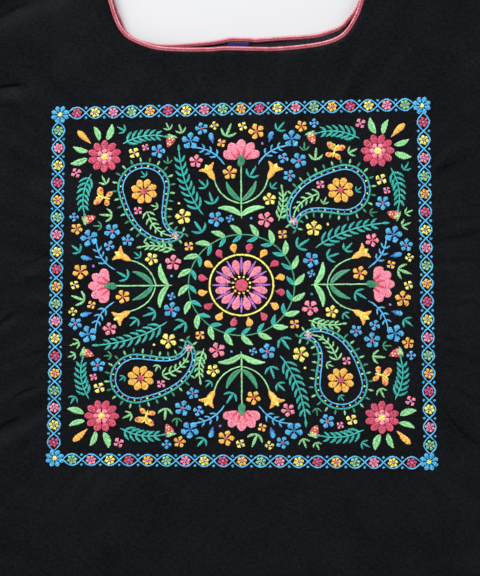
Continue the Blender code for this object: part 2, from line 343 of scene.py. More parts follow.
def new_tree(name, inputs):
    """A geometry node tree with named inputs, given as (socket type, value), and what adds nodes to it."""
    tree = bpy.data.node_groups.new(name, "GeometryNodeTree")
    sockets = {"Geometry": ("NodeSocketGeometry", None), **inputs, "Material": ("NodeSocketMaterial", None)}
    for label, (kind, value) in sockets.items():
        socket = tree.interface.new_socket(label, in_out="INPUT", socket_type=kind)
        if value is not None:
            socket.default_value = value
    tree.interface.new_socket("Geometry", in_out="OUTPUT", socket_type="NodeSocketGeometry")
    return tree, partial(add_node, tree), tree.nodes.new("NodeGroupInput").outputs


def close_tree(tree, add, geometry, given):
    """Ends a tree with real, smooth geometry in the material that it was given."""
    real = add("GeometryNodeRealizeInstances", {"Geometry": geometry}).outputs[0]
    smooth = add("GeometryNodeSetShadeSmooth", {"Geometry": real}).outputs[0]
    coloured = add("GeometryNodeSetMaterial", {"Geometry": smooth, "Material": given["Material"]}).outputs[0]
    add("NodeGroupOutput", {"Geometry": coloured})
    return tree


def plain_object(name, data):
    """An object at the origin for a mesh, a light or a camera."""
    obj = bpy.data.objects.new(name, data)
    bpy.context.scene.collection.objects.link(obj)
    return obj


def grown(name, guide_mesh, tree, values):
    """A plain mesh object made by running a node tree over a guide mesh."""
    guide = plain_object(name + "_guide", guide_mesh)
    modifier = guide.modifiers.new("Grow", "NODES")
    modifier.node_group = tree
    sockets = {item.name: item.identifier for item in tree.interface.items_tree if item.in_out == "INPUT"}
    for label, value in values.items():
        modifier[sockets[label]] = value
    guide.update_tag()
    depsgraph = bpy.context.evaluated_depsgraph_get()
    mesh = bpy.data.meshes.new_from_object(guide.evaluated_get(depsgraph), depsgraph=depsgraph)
    bpy.data.objects.remove(guide, do_unlink=True)
    mesh.name = name
    return plain_object(name, mesh)


# Outlines and heights of the cloth

def resample(path, step):
    """The same line in even steps of about one step each, its two ends kept."""
    path = np.asarray(path, float)
    lengths = np.linalg.norm(np.diff(path, axis=0), axis=1)
    along = np.concatenate([[0.0], np.cumsum(lengths)])
    count = max(2, round(along[-1] / step) + 1)
    wanted = np.linspace(0, along[-1], count)
    return np.column_stack([np.interp(wanted, along, path[:, axis]) for axis in range(path.shape[1])])


def smooth_curve(points, step):
    """A Catmull-Rom curve through table points in millimetres, in even steps."""
    knots = np.array(points, float) * MM
    knots = np.vstack([2 * knots[0] - knots[1], knots, 2 * knots[-1] - knots[-2]])
    curve = []
    for before, start, end, after in zip(knots, knots[1:], knots[2:], knots[3:]):
        for t in np.arange(CURVE_SAMPLES) / CURVE_SAMPLES:
            curve.append(
                0.5 * (2 * start + (end - before) * t
                       + (2 * before - 5 * start + 4 * end - after) * t**2
                       + (3 * start - before - 3 * end + after) * t**3)
            )
    curve.append(knots[-2])
    return resample(curve, step)


def sewn_edge(step):
    """The seam from the left armpit down the side, round the bottom corners and up to the right armpit."""
    half_width = BAG_WIDTH / 2
    bow_in = (half_width - ARMPIT_X) / (ARMPIT_Y - WIDEST_Y) ** 2
    corner_y = BOTTOM_Y + CORNER_RADIUS
    side_y = np.linspace(ARMPIT_Y, corner_y, 2 * CURVE_SAMPLES)
    side = [(half_width - bow_in * (y - WIDEST_Y) ** 2, y) for y in side_y]
    corner_x = side[-1][0] - CORNER_RADIUS
    corner = [
        (corner_x + CORNER_RADIUS * cos(turn), corner_y - CORNER_RADIUS * sin(turn))
        for turn in np.linspace(0, pi / 2, CURVE_SAMPLES)[1:]
    ]
    right = side + corner
    left = [(-x, y) for x, y in right]
    return resample(left + right[::-1], step)


def handle_outer_edge(tuck):
    """Outer edge of the right handle, drawn in by up to one tuck at mid-length."""
    edge = smooth_curve(HANDLE_OUTER_EDGE, EDGE_STEP)
    share = np.linspace(0, 1, len(edge))
    edge[:, 0] -= tuck * np.sin(pi * share)
    return edge


def panel_sections(neckline, tuck):
    """Outline of a panel as named open sections, which run counter-clockwise and share their end points."""
    right_edge = handle_outer_edge(tuck)
    left_edge = (right_edge * (-1, 1))[::-1]
    neck = smooth_curve(neckline, EDGE_STEP)
    return {
        "seam": sewn_edge(EDGE_STEP),
        "right_handle": right_edge,
        "right_top": resample([right_edge[-1], neck[0]], EDGE_STEP),
        "neck": neck,
        "left_top": resample([neck[-1], left_edge[0]], EDGE_STEP),
        "left_handle": left_edge,
    }


def distance_to_line(points, line):
    """Distance from each point to the nearest place on an open line, in plan."""
    points = np.asarray(points, float)[:, None, :]
    start = line[:-1][None]
    run = line[1:][None] - start
    share = np.clip(((points - start) * run).sum(2) / (run**2).sum(2), 0, 1)
    return np.linalg.norm(points - start - share[..., None] * run, axis=2).min(1)


def from_seams(points, sections):
    """Distance from each point to the nearest sewn edge. The seam is thinned first, to keep this quick."""
    seams = [resample(sections[name], SEAM_STEP) for name in SEWN_SECTIONS]
    blocks = np.array_split(np.asarray(points, float), max(1, len(points) // BLOCK))
    near = [np.min([distance_to_line(block, seam) for seam in seams], axis=0) for block in blocks]
    return np.concatenate(near)


def beside_crease(points, crease):
    """How far each point lies along a crease and across it, and the crease's length."""
    start = np.array([crease.x1, crease.y1]) * MM
    run = np.array([crease.x2, crease.y2]) * MM - start
    length = np.linalg.norm(run)
    across = ((points - start) @ np.array([-run[1], run[0]])) / length
    return (points - start) @ run / length, across, length


def fold_height(points, creases):
    """Height that the creases add at each point. A crease fades out towards both of its ends."""
    total = np.zeros(len(points))
    for crease in creases:
        along, across, length = beside_crease(points, crease)
        over = np.maximum(0, np.abs(along - length / 2) - length / 4)
        reach = np.exp(-((over / (length / 4)) ** 2) - (across / (crease.width * MM)) ** 2)
        total += crease.height * MM * reach
    return total


def sharp_height(points):
    """Depth of the sharp creases at each point."""
    total = np.zeros(len(points))
    for crease in SHARP_CREASES:
        along, across, length = beside_crease(points, crease)
        share = along / length
        across -= crease.bow * length * 4 * share * (1 - share)
        fade = np.clip(CREASE_FADE * share * (1 - share), 0, 1)
        offset = across / (crease.width * MM)
        exponent = np.clip(CREASE_STEEPNESS * offset, -EXPONENT_LIMIT, EXPONENT_LIMIT)
        step = 1 / (1 + np.exp(exponent))
        recovery = np.exp(-((np.minimum(offset, 0) / CREASE_RECOVERY) ** 2))
        lip = LIP_SHARE * np.exp(-(((offset - LIP_PLACE) / LIP_WIDTH) ** 2))
        total += crease.depth * MM * fade * (step * recovery - lip)
    return total


def crease_points(crease):
    """Points in close rows along a sharp crease, so that the cloth's mesh can follow it."""
    start = complex(crease.x1, crease.y1)
    line = spaced(bow(start, complex(crease.x2, crease.y2), crease.bow), 1.5)
    rows = [line + sides(line) * off * crease.width for off in CREASE_ROWS]
    spots = np.concatenate(rows) * MM
    return np.column_stack([spots.real, spots.imag])


def wave_height(points, waves):
    """Height that straight waves, each with its own direction, add at each point."""
    total = np.zeros(len(points))
    for wave in waves:
        turn = radians(wave.turn)
        along = points @ np.array([cos(turn), sin(turn)])
        total += wave.height * MM * np.sin(2 * pi * along / (wave.length * MM) + wave.phase)
    return total


def radial_height(points):
    """Height of the small folds that run outwards from the stitched square, strongest beside its edge."""
    offset = points - np.array(SQUARE_MIDDLE)
    turn = np.arctan2(offset[:, 1], offset[:, 0])
    reach = np.linalg.norm(offset, axis=1) / MM
    fade = np.interp(np.abs(offset).max(1) / MM, *RADIAL_FADE)
    total = np.zeros(len(points))
    for pucker in RADIAL_PUCKERS:
        strength = 0.65 + 0.35 * np.sin(3 * turn + pucker.phase)
        swing = np.sin(pucker.count * turn + pucker.twist * reach + pucker.phase)
        total += pucker.height * MM * strength * swing
    return fade * total


def drawn_in(points):
    """How far inside the stitched square each point lies, from 0 to 1. Its threads draw the cloth in."""
    within = SQUARE_REACH - np.abs(points - np.array(SQUARE_MIDDLE)).max(1)
    return np.clip(within / SQUARE_RIM, 0, 1)


def front_underside(points, sections):
    """Height of the front cloth's underside: the solid's, with finer creases, at the solid's upper face."""
    points = np.asarray(points, float)
    from_seam = from_seams(points, sections)
    roll = np.sin(pi / 2 * np.minimum(1, from_seam / SEAM_ROLL))
    fade = np.minimum(1, from_seam / FOLD_FADE)
    folds = fold_height(points, FRONT_CREASES) + sharp_height(points) + wave_height(points, UNEVENNESS)
    folds += drawn_in(points) * wave_height(points, PUCKERS) + radial_height(points)
    return SEAM_LEVEL + FRONT_LOFT * roll + fade * folds + SOLID_CLOTH - CLOTH


def back_underside(points, sections):
    """Height of the back cloth's underside: flat on the surface but for a few lifts of its free edge."""
    points = np.asarray(points, float)
    total = np.zeros(len(points))
    for lift in BACK_LIFTS:
        away = np.linalg.norm(points - np.array([lift.x, lift.y]) * MM, axis=1)
        total += lift.height * MM * np.maximum(0, 1 - (away / (lift.radius * MM)) ** 2)
    return np.where(from_seams(points, sections) > FOLD_FADE, total, 0)


FRONT = panel_sections(FRONT_NECKLINE, FRONT_HANDLE_TUCK)
BACK = panel_sections(BACK_NECKLINE, 0)


# Materials

def woven_nylon(name, darkest, lightest):
    """Black nylon taffeta, plain woven and dyed: dull, close to black, its threads uneven, faintly crumpled.

    A lighter copy of it is used for the face towards the inside of the bag. The real threads are 0.15 mm
    apart, too fine to show, so the weave is drawn as uneven streaks about 1.2 mm wide and 3 mm long, both
    ways."""
    material, add, shader, place = new_material(name, lightest, Roughness=0.6, Specular_IOR_Level=0.05)
    streaks = []
    for width, length in ((1.25, 3.03), (3.448, 1.163)):
        mapped = add("ShaderNodeMapping", {"Vector": place, "Scale": (per_mm(width), per_mm(length), 0)})
        streak = add("ShaderNodeTexNoise", {"Vector": mapped.outputs[0], "Scale": 1.0, "Detail": 3.0})
        streaks.append(streak.outputs["Fac"])
    weave = add("ShaderNodeMath", {0: streaks[0], 1: streaks[1]}, operation="ADD").outputs[0]
    # Painted sheen: soft lighter and darker patches over about 30 mm in the cloth's colour stand in for the
    # uneven sheen of its soft undulations.
    painted_sheen_patches = add("ShaderNodeTexNoise", {
        "Vector": place, "Scale": per_mm(29.4), "Detail": 2.0, "Roughness": 0.5,
    }).outputs["Fac"]
    tone = add("ShaderNodeMath", {0: painted_sheen_patches, 1: 0.6, 2: weave}, operation="MULTIPLY_ADD").outputs[0]
    half = add("ShaderNodeMath", {0: tone, 1: 0.5}, operation="MULTIPLY").outputs[0]
    colour = add("ShaderNodeValToRGB", {"Fac": half}, ((0.48, darkest), (0.85, lightest))).outputs["Color"]
    long_ways = add("ShaderNodeMapping", {"Vector": place, "Scale": (per_mm(38.5), per_mm(22.7), 1)})
    crumple = add(
        "ShaderNodeTexNoise", {"Vector": long_ways.outputs[0], "Scale": 1.0, "Detail": 4.0},
        noise_type="RIDGED_MULTIFRACTAL",
    ).outputs["Fac"]
    normal = add("ShaderNodeBump", {"Height": weave, "Strength": 0.5, "Distance": 0.2 * MM}).outputs[0]
    normal = add("ShaderNodeBump", {
        "Height": crumple, "Strength": 0.6, "Distance": 0.7 * MM, "Normal": normal,
    }).outputs[0]
    set_inputs(shader, {"Base Color": colour, "Normal": normal})
    return material


def overlock_thread():
    """Textured nylon thread for overlocking: bulky, soft and nearly dull. The fuzz is 0.4 mm across."""
    material, add, shader, place = new_material(
        "overlock_thread", "#d27e89", Roughness=0.7, Specular_IOR_Level=0.15, Sheen_Weight=0.05
    )
    fuzz = add("ShaderNodeTexNoise", {"Vector": place, "Scale": per_mm(0.3846), "Detail": 2.0}).outputs["Fac"]
    tint = add("ShaderNodeTexNoise", {"Vector": place, "Scale": per_mm(6.25), "Detail": 3.0}).outputs["Fac"]
    ramp = add("ShaderNodeValToRGB", {"Fac": tint}, ((0.3, "#c96c78"), (0.7, "#da9099")))
    bump = add("ShaderNodeBump", {"Height": fuzz, "Strength": 0.4, "Distance": 0.1 * MM})
    set_inputs(shader, {"Base Color": ramp.outputs["Color"], "Normal": bump.outputs[0]})
    return material


def overlock_core_painted_shade():
    """The same thread packed round the cloth's edge, coloured deep red as painted shade: the shade between
    the outer loops and at the needle line, and a thin painted shadow line where it reaches in over the cloth.
    """
    material, add, shader, place = new_material(
        "overlock_core_painted_shade", "#6b1a2a", Roughness=0.8, Specular_IOR_Level=0.1
    )
    grain = add("ShaderNodeTexNoise", {"Vector": place, "Scale": per_mm(1.11), "Detail": 2.0}).outputs["Fac"]
    bump = add("ShaderNodeBump", {"Height": grain, "Strength": 0.5, "Distance": 0.2 * MM})
    set_inputs(shader, {"Normal": bump.outputs[0]})
    return material


def satin_tape():
    """Polyester satin tape, ribbed across it every 1.2 mm: smooth, blue and softly glossy, with painted light
    and shade on its ribs.
    """
    material, add, shader, place = new_material(
        "satin_tape", "#121658", Roughness=0.42, Specular_IOR_Level=0.2
    )
    ribs = add(
        "ShaderNodeTexWave", {"Vector": place, "Scale": BANDS_PER_SCALE * per_mm(1.208), "Distortion": 1.2},
        wave_type="BANDS", bands_direction="Y",
    ).outputs["Fac"]
    # Painted light and shade: the ribs' tops are coloured lighter and the grooves between them darker,
    # following the same pattern as their bump.
    ramp = add("ShaderNodeValToRGB", {"Fac": ribs}, ((0, "#10104b"), (1, "#1a1d6b")))
    bump = add("ShaderNodeBump", {"Height": ribs, "Strength": 0.5, "Distance": 0.15 * MM})
    set_inputs(shader, {"Base Color": ramp.outputs["Color"], "Normal": bump.outputs[0]})
    return material


def rayon_thread(name, colour):
    """Trilobal rayon embroidery thread: smooth and bright. Its colour carries painted light and shade: each
    stitch is made lighter or darker at random, and a noise paints the uneven light that the lie of the
    threads gives over about 1.5 mm."""
    material, add, shader, place = new_material(
        "rayon_" + name, colour, Roughness=0.36, Specular_IOR_Level=0.6
    )
    shade = add("ShaderNodeAttribute", attribute_name="shade").outputs["Fac"]
    lie = add("ShaderNodeTexNoise", {"Vector": place, "Scale": per_mm(1.5385), "Detail": 1.0}).outputs["Fac"]
    # Painted light and shade: the stitch's random value and the noise lighten and darken the thread's colour.
    painted_stitch_light = add("ShaderNodeMath", {0: shade, 1: 0.4, 2: lie}, operation="MULTIPLY_ADD").outputs[0]
    value = add("ShaderNodeMapRange", {
        "Value": painted_stitch_light, "From Min": 0.35, "From Max": 1.05, "To Min": 0.74, "To Max": 1.36,
    }).outputs[0]
    tone = add("ShaderNodeHueSaturation", {"Value": value, "Color": linear(colour)})
    set_inputs(shader, {"Base Color": tone.outputs["Color"]})
    return material


def backdrop_paper():
    """Matt white background paper, its tone barely uneven over half a metre."""
    material, add, shader, place = new_material(
        "backdrop_paper", "#bcbcbd", Roughness=0.95, Specular_IOR_Level=0.1
    )
    tone = add("ShaderNodeTexNoise", {"Vector": place, "Scale": per_mm(500)}).outputs["Fac"]
    ramp = add("ShaderNodeValToRGB", {"Fac": tone}, ((0, "#babbbb"), (1, "#bebebf")))
    set_inputs(shader, {"Base Color": ramp.outputs["Color"]})
    return material


# Cloth, seam and tape

def inside(points, outline):
    """Whether each point lies inside the closed outline, by counting the crossings of a ray along +X."""
    x, y = points[:, 0][:, None], points[:, 1][:, None]
    x1, y1 = outline[:, 0], outline[:, 1]
    x2, y2 = np.roll(x1, -1), np.roll(y1, -1)
    crosses = (y1 > y) != (y2 > y)
    rise = np.where(y2 == y1, 1, y2 - y1)
    return (crosses & (x < x1 + (y - y1) * (x2 - x1) / rise)).sum(1) % 2 == 1


def filling_points(outline, step, detail=None):
    """A triangular grid of points inside the outline, clear of it and of the detail points, and those."""
    low, high = outline.min(0), outline.max(0)
    rows = np.arange(low[1], high[1], step * sin(radians(60)))
    grid = np.array([
        (x + (index % 2) * step / 2, y)
        for index, y in enumerate(rows)
        for x in np.arange(low[0], high[0], step)
    ])
    grid = np.concatenate([block[inside(block, outline)] for block in np.array_split(grid, 12)])
    rim = np.vstack([outline] if detail is None else [outline, detail])
    near = KDTree(len(rim))
    for index, point in enumerate(rim):
        near.insert((*point, 0), index)
    near.balance()
    grid = np.array([point for point in grid if near.find((*point, 0))[2] > LEAST_SPACING * step])
    return grid if detail is None else np.vstack([grid, detail])


def finished(name, bm, *materials):
    """A smooth-shaded object from a bmesh, its normals turned outwards."""
    bmesh.ops.recalc_face_normals(bm, faces=list(bm.faces))
    mesh = bpy.data.meshes.new(name)
    bm.to_mesh(mesh)
    bm.free()
    for material in materials:
        mesh.materials.append(material)
    mesh.shade_smooth()
    return plain_object(name, mesh)


def cloth_sheet(name, sections, underside, step, inner_face, materials, detail=None):
    """A thin closed sheet of cloth inside a panel's outline, laid at the heights that underside gives.

    Its points are an even grid, with close rows of points where detail gives them. The second material is for
    the face towards the inside of the bag, its top or its bottom."""
    outline = np.vstack([section[:-1] for section in sections.values()])
    points = np.vstack([outline, filling_points(outline, step, detail)])
    flat, _, faces, *_ = delaunay_2d_cdt(
        [tuple(point) for point in points], [], [list(range(len(outline)))], FACES_INSIDE, WELD_DISTANCE
    )
    flat = np.array([tuple(point) for point in flat])
    heights = underside(flat, sections)
    bm = bmesh.new()
    verts = [bm.verts.new((x, y, z)) for (x, y), z in zip(flat, heights)]
    for face in faces:
        bm.faces.new([verts[index] for index in face])
    layers = {"bottom": list(bm.faces)}
    raised = bmesh.ops.extrude_face_region(bm, geom=layers["bottom"])["geom"]
    layers["top"] = [item for item in raised if isinstance(item, bmesh.types.BMFace)]
    top_verts = [item for item in raised if isinstance(item, bmesh.types.BMVert)]
    bmesh.ops.translate(bm, vec=(0, 0, CLOTH), verts=top_verts)
    for face in layers[inner_face]:
        face.material_index = 1
    return finished(name, bm, *materials)


def outward_normals(line):
    """Unit normals in plan at each point of a counter-clockwise section, pointing off the cloth."""
    run = np.gradient(line, axis=0)
    normals = np.column_stack([run[:, 1], -run[:, 0]])
    return normals / np.linalg.norm(normals, axis=1)[:, None]


def oval(width, height, count):
    """Corners of an oval section, as (off, up) pairs round its middle."""
    return [
        (width / 2 * cos(turn), height / 2 * sin(turn))
        for turn in np.linspace(0, 2 * pi, count, endpoint=False)
    ]


def join_rings(bm, rings):
    """Faces between each ring of corners and the next."""
    for ring, following in zip(rings, rings[1:]):
        for index in range(len(ring)):
            after = (index + 1) % len(ring)
            bm.faces.new([ring[index], ring[after], following[after], following[index]])


def sweep(bm, line, middles, section, off):
    """Sweeps a section along a line in plan, its middle at the given heights and pushed off the line."""
    rings = []
    for point, normal, middle in zip(line, outward_normals(line), middles):
        rings.append([
            bm.verts.new((*(point + normal * (off + across)), middle + up)) for across, up in section
        ])
    join_rings(bm, rings)
    bm.faces.new(rings[0])
    bm.faces.new(rings[-1])


def seam_bead(material):
    """The turned-in seam allowance, which closes the bag's sides and bottom and the tops of its handles."""
    bm = bmesh.new()
    height = SEAM_LEVEL + SOLID_CLOTH - 2 * CLOTH
    section = oval(SEAM_BEAD_WIDTH, height, 8)
    for name in SEWN_SECTIONS:
        line = BACK[name]
        sweep(bm, line, [CLOTH + height / 2] * len(line), section, SEAM_BEAD_PROUD - SEAM_BEAD_WIDTH / 2)
    return finished("seam_bead", bm, material)


def tape_loop(material):
    """The tab: a short length of tape folded in two, its fold hanging down inside the back of the bag."""
    low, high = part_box("tape_tab")
    top_y = high[1]
    low_z = low[2] - SOLID_CLOTH + CLOTH + TAPE / 2
    turn_radius = TAPE / 2 + TAPE_GAP / 2
    fold_y = top_y - TAB_LENGTH + turn_radius
    turn = [
        (fold_y - turn_radius * sin(angle), low_z + turn_radius * (1 - cos(angle)))
        for angle in np.linspace(0, pi, 9)
    ]
    path = resample([(top_y, low_z), *turn, (top_y, low_z + 2 * turn_radius)], TAPE_STEP)
    side = outward_normals(path) * TAPE / 2
    loop = np.vstack([path - side, (path + side)[::-1]])
    bm = bmesh.new()
    columns = np.linspace(-0.5, 0.5, 9) * TAB_WIDTH + TAB_X
    rings = [[bm.verts.new((x, *point)) for point in loop] for x in columns]
    join_rings(bm, rings)
    for ring in (rings[0], rings[-1]):
        for index in range(len(path) - 1):
            bm.faces.new([ring[index], ring[index + 1], ring[-2 - index], ring[-1 - index]])
    return finished("tape_loop", bm, material)


# Overlocked edges

def arc_strand(add, radius, start, sweep_angle, half_width, half_height, offset, resolution):
    """A strand of thread bent along part of an oval in the XY plane, as geometry for one stitch."""
    bend = add("GeometryNodeCurveArc", {
        "Resolution": resolution, "Radius": 1.0, "Start Angle": start, "Sweep Angle": sweep_angle,
    }).outputs["Curve"]
    shaped = add("GeometryNodeTransform", {
        "Geometry": bend, "Translation": (offset, 0, 0), "Scale": (half_width, half_height, 1),
    }).outputs[0]
    ring = add("GeometryNodeCurvePrimitiveCircle", {"Resolution": 3, "Radius": radius}).outputs["Curve"]
    return add("GeometryNodeCurveToMesh", {"Curve": shaped, "Profile Curve": ring}).outputs["Mesh"]


def overlock_tree():
    """Threads of a three-thread overlock along a path: loops round the edge, short legs and a needle line."""
    tree, add, given = new_tree("overlock", {
        "Pitch": ("NodeSocketFloat", OVERLOCK_PITCH),
        "Needle pitch": ("NodeSocketFloat", NEEDLE_PITCH),
        "Thread radius": ("NodeSocketFloat", OVERLOCK_THREAD),
        "Slant": ("NodeSocketFloat", radians(9)),
        "Seed": ("NodeSocketInt", 5),
    })
    path = add("GeometryNodeMeshToCurve", {"Mesh": given["Geometry"]}).outputs["Curve"]
    loop_start = NEEDLE_LINE + NEEDLE_GAP / 2 + OVERLOCK_THREAD / 2
    leg_start = NEEDLE_LINE - NEEDLE_GAP / 2 - OVERLOCK_THREAD / 2
    stitch = add("GeometryNodeJoinGeometry")
    set_inputs(stitch, {0: arc_strand(
        add, radius=given["Thread radius"], start=pi / 2, sweep_angle=-pi,
        half_width=OVERLOCK_WIDTH - OVERLOCK_THREAD - loop_start, half_height=OVERLOCK_HALF_HEIGHT,
        offset=loop_start, resolution=6,
    )})
    set_inputs(stitch, {0: arc_strand(
        add, radius=given["Thread radius"], start=pi / 2, sweep_angle=pi / 2,
        half_width=leg_start - 0.6 * OVERLOCK_THREAD, half_height=OVERLOCK_HALF_HEIGHT - 0.08 * MM,
        offset=leg_start, resolution=4,
    )})
    bead = add("GeometryNodeMeshIcoSphere", {"Radius": 1.0, "Subdivisions": 1}).outputs["Mesh"]
    needle = add("GeometryNodeTransform", {
        "Geometry": bead, "Translation": (NEEDLE_LINE, OVERLOCK_HALF_HEIGHT, 0), "Scale": NEEDLE_BEAD,
    })
    joined = add("GeometryNodeJoinGeometry")
    for pitch, shape, least, most in (("Pitch", stitch, 0.4, 1.6), ("Needle pitch", needle, -0.6, 0.6)):
        spots = add("GeometryNodeCurveToPoints", {"Curve": path, "Length": given[pitch]}, mode="LENGTH")
        back_along = add(
            "ShaderNodeVectorMath", {0: spots.outputs["Tangent"], "Scale": -1.0}, operation="SCALE"
        ).outputs[0]
        along = add("FunctionNodeAlignRotationToVector", {"Vector": back_along}, axis="Z").outputs[0]
        upright = add(
            "FunctionNodeAlignRotationToVector", {"Rotation": along, "Vector": (0, 0, 1)},
            axis="Y", pivot_axis="Z",
        ).outputs[0]
        low, high = (
            add("ShaderNodeMath", {0: given["Slant"], 1: share}, operation="MULTIPLY").outputs[0]
            for share in (least, most)
        )
        sway = add("FunctionNodeRandomValue", {2: low, 3: high, "Seed": given["Seed"]}, data_type="FLOAT")
        tilt = add("ShaderNodeCombineXYZ", {"Y": sway.outputs[1]}).outputs[0]
        turned_rotation = add(
            "FunctionNodeRotateRotation", {"Rotation": upright, "Rotate By": tilt}, rotation_space="LOCAL"
        ).outputs[0]
        placed = add("GeometryNodeInstanceOnPoints", {
            "Points": spots.outputs["Points"], "Instance": shape.outputs[0], "Rotation": turned_rotation,
        })
        set_inputs(joined, {0: placed.outputs[0]})
    return close_tree(tree, add, joined.outputs[0], given)


def edge_lines(side, sections, underside):
    """The free edges of a panel and the height of the middle of their overlocking, for each edge. The back's
    neckline bulges where the tab is sewn in."""
    least = SEAM_LEVEL + SOLID_CLOTH if side == "front" else OVERLOCK_HALF_HEIGHT + OVERLOCK_THREAD
    lines = {}
    for name in ("neck", "right_handle", "left_handle"):
        line = sections[name].copy()
        if side == "back" and name == "neck":
            over_tab = np.exp(-(((line[:, 0] - TAB_X) / TAB_BULGE_REACH) ** 6)) * (line[:, 1] < TOP_Y / 2)
            line += outward_normals(line) * (TAB_BULGE * over_tab)[:, None]
        lines[name] = line, np.maximum(underside(line, sections) + CLOTH / 2, least)
    return lines


def overlocking(side, lines, tree, thread, core):
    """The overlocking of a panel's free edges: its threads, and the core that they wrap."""
    bm = bmesh.new()
    for line, middles in lines.values():
        sweep(bm, line, middles, oval(CORE_WIDTH, 2 * CORE_HALF_HEIGHT, 8), CORE_WIDTH / 2 - CORE_OVERLAP)
    core_piece = finished(f"{side}_overlock_core_painted_shade", bm, core)
    guide = bpy.data.meshes.new(f"{side}_edges")
    verts, edges = [], []
    for line, middles in lines.values():
        first = len(verts)
        verts += [(x, y, z) for (x, y), z in zip(line, middles)]
        edges += [(index, index + 1) for index in range(first, len(verts) - 1)]
    guide.from_pydata(verts, edges, [])
    threads = grown(f"{side}_overlock", guide, tree, {"Material": thread})
    return threads, core_piece


# Embroidery stitches, drawn in plan

def spaced(path, step):
    """Points in even steps along a path."""
    along = np.concatenate([[0.0], np.cumsum(np.abs(np.diff(path)))])
    count = max(2, round(along[-1] / step) + 1)
    return np.interp(np.linspace(0, along[-1], count), along, path)


def bow(start, end, bulge=0.0, count=24):
    """A shallow curve from start to end that bulges to its left by a share of its length."""
    share = np.linspace(0, 1, count)
    run = end - start
    return start + run * share + 1j * run * bulge * 4 * share * (1 - share)


def arc(centre, radius, start=0, end=360, count=48):
    return centre + radius * np.exp(1j * np.radians(np.linspace(start, end, count)))


def turned(angle):
    """The direction at an angle in degrees from +X."""
    return cmath.exp(1j * radians(angle))


def spokes(count, shift=0.0):
    """Directions spread evenly round a circle, shifted by a share of the step between them."""
    return np.exp(2j * pi * (np.arange(count) + shift) / count)


def sides(path):
    """Unit vectors to the left of a path, at each of its points."""
    run = np.gradient(path)
    return 1j * run / np.abs(run)


# How wide a petal or a leaf is along its length, as a share of its full width

def almond(share):
    return np.sin(pi * share) ** 0.85


def drop(share):
    return np.sin(pi * share**1.7) ** 0.65


def heart(share):
    return np.sin(pi * share**0.6) ** 0.7


def even(share):
    return np.ones_like(share)


def satin(thread, path, width, shape=even, slant=18, level=0):
    """Satin stitches side by side across a path."""
    path = spaced(path, PITCH)
    half = 0.5 * SLIMNESS * width * shape(np.linspace(0.04, 0.96, len(path)))
    side = sides(path) * turned(slant) * half
    return [Run(thread, path - side, path + side, level)]


def stem(thread, path, width=1.1, level=0):
    """Stem stitches, which overlap along a path like the strands of a cord."""
    path = spaced(path, STEM_ADVANCE)
    side = sides(path) * width * 0.32
    ahead = np.minimum(np.arange(len(path) - 1) + STEM_REACH, len(path) - 1)
    return [Run(thread, (path - side)[:-1], (path + side)[ahead], level)]


def leaf(thread, base, tip, width, bend=0.08, level=0):
    """A leaf in two halves, whose stitches slant forwards from its rib."""
    rib = spaced(bow(base, tip, bend), PITCH * 1.08)
    share = np.linspace(0.05, 0.97, len(rib))
    ahead = np.minimum(np.arange(len(rib)) + max(1, round(0.16 * len(rib))), len(rib) - 1)
    side = sides(rib)[ahead] * 0.5 * width * almond(share[ahead])
    vein = sides(rib) * 0.12
    return [
        Run(thread, rib + vein, rib[ahead] + side, level),
        Run(thread, rib - vein, rib[ahead] - side, level),
    ]


def broken_up(run):
    """The same stitches, with each that is too long for satin broken up into staggered fill stitches."""
    starts, ends = [], []
    for row, (start, end) in enumerate(zip(run.starts, run.ends)):
        length = abs(end - start)
        count = round(length / FILL_STITCH) if length > LONGEST_SATIN else 1
        shift = (row % 3 - 1) / 3
        breaks = [0, *((np.arange(1, count) + shift) / count), 1]
        spots = start + (end - start) * np.array(breaks)
        starts += list(spots[:-1])
        ends += list(spots[1:])
    return Run(run.thread, np.array(starts), np.array(ends), run.level)


def disc(thread, centre, radius, turn=30, level=0):
    """A filled round dot."""
    across = np.arange(-radius + PITCH / 2, radius, PITCH)
    half = np.sqrt(np.maximum(0, radius**2 - across**2))
    spin = turned(turn)
    return [Run(thread, centre + spin * (1j * across - half), centre + spin * (1j * across + half), level)]


def moved(runs, at=0, turn=0, mirror=False):
    """The same stitches, mirrored in the X axis if asked, turned about 0 and then carried to a place."""
    spin = turned(turn)
    flip = np.conj if mirror else np.asarray
    return [
        Run(run.thread, at + spin * flip(run.starts), at + spin * flip(run.ends), run.level)
        for run in runs
    ]


def four_ways(runs):
    """The same stitches on all four sides of the square."""
    return [copy for turn in range(0, 360, 90) for copy in moved(runs, turn=turn)]


def eight_ways(runs):
    """The same stitches on both sides of each of the square's diagonals."""
    return four_ways(runs + moved(runs, turn=90, mirror=True))


# Flowers and leaves, each drawn from its root at 0 and growing along +X

def blossom(petals, size, petal_thread, heart_thread, fullness=0.8, shape=drop, hole=0.16, level=2):
    """A round flower of like petals. Its heart's radius is a share of its own, the hole."""
    runs = []
    width = fullness * 2 * size * np.sin(pi / petals) * 0.82
    for spin in spokes(petals):
        petal = bow((hole * size + 0.5) * spin, size * spin)
        runs += satin(petal_thread, petal, width, shape, slant=8, level=level)
    return runs + disc(heart_thread, 0, hole * size + 0.2, turn=40, level=level + 1)


def tulip(size, outer, inner, level=2):
    """A tulip seen from its side: one inner petal between two outer ones."""
    runs = satin(inner, bow(0.25 * size, size + 0j), 0.42 * size, almond, slant=10, level=level)
    for way in (1, -1):
        tip = size * turned(27 * way)
        runs += satin(outer, bow(0, tip, -0.24 * way), 0.36 * size, almond, slant=14 * way, level=level + 1)
    return runs


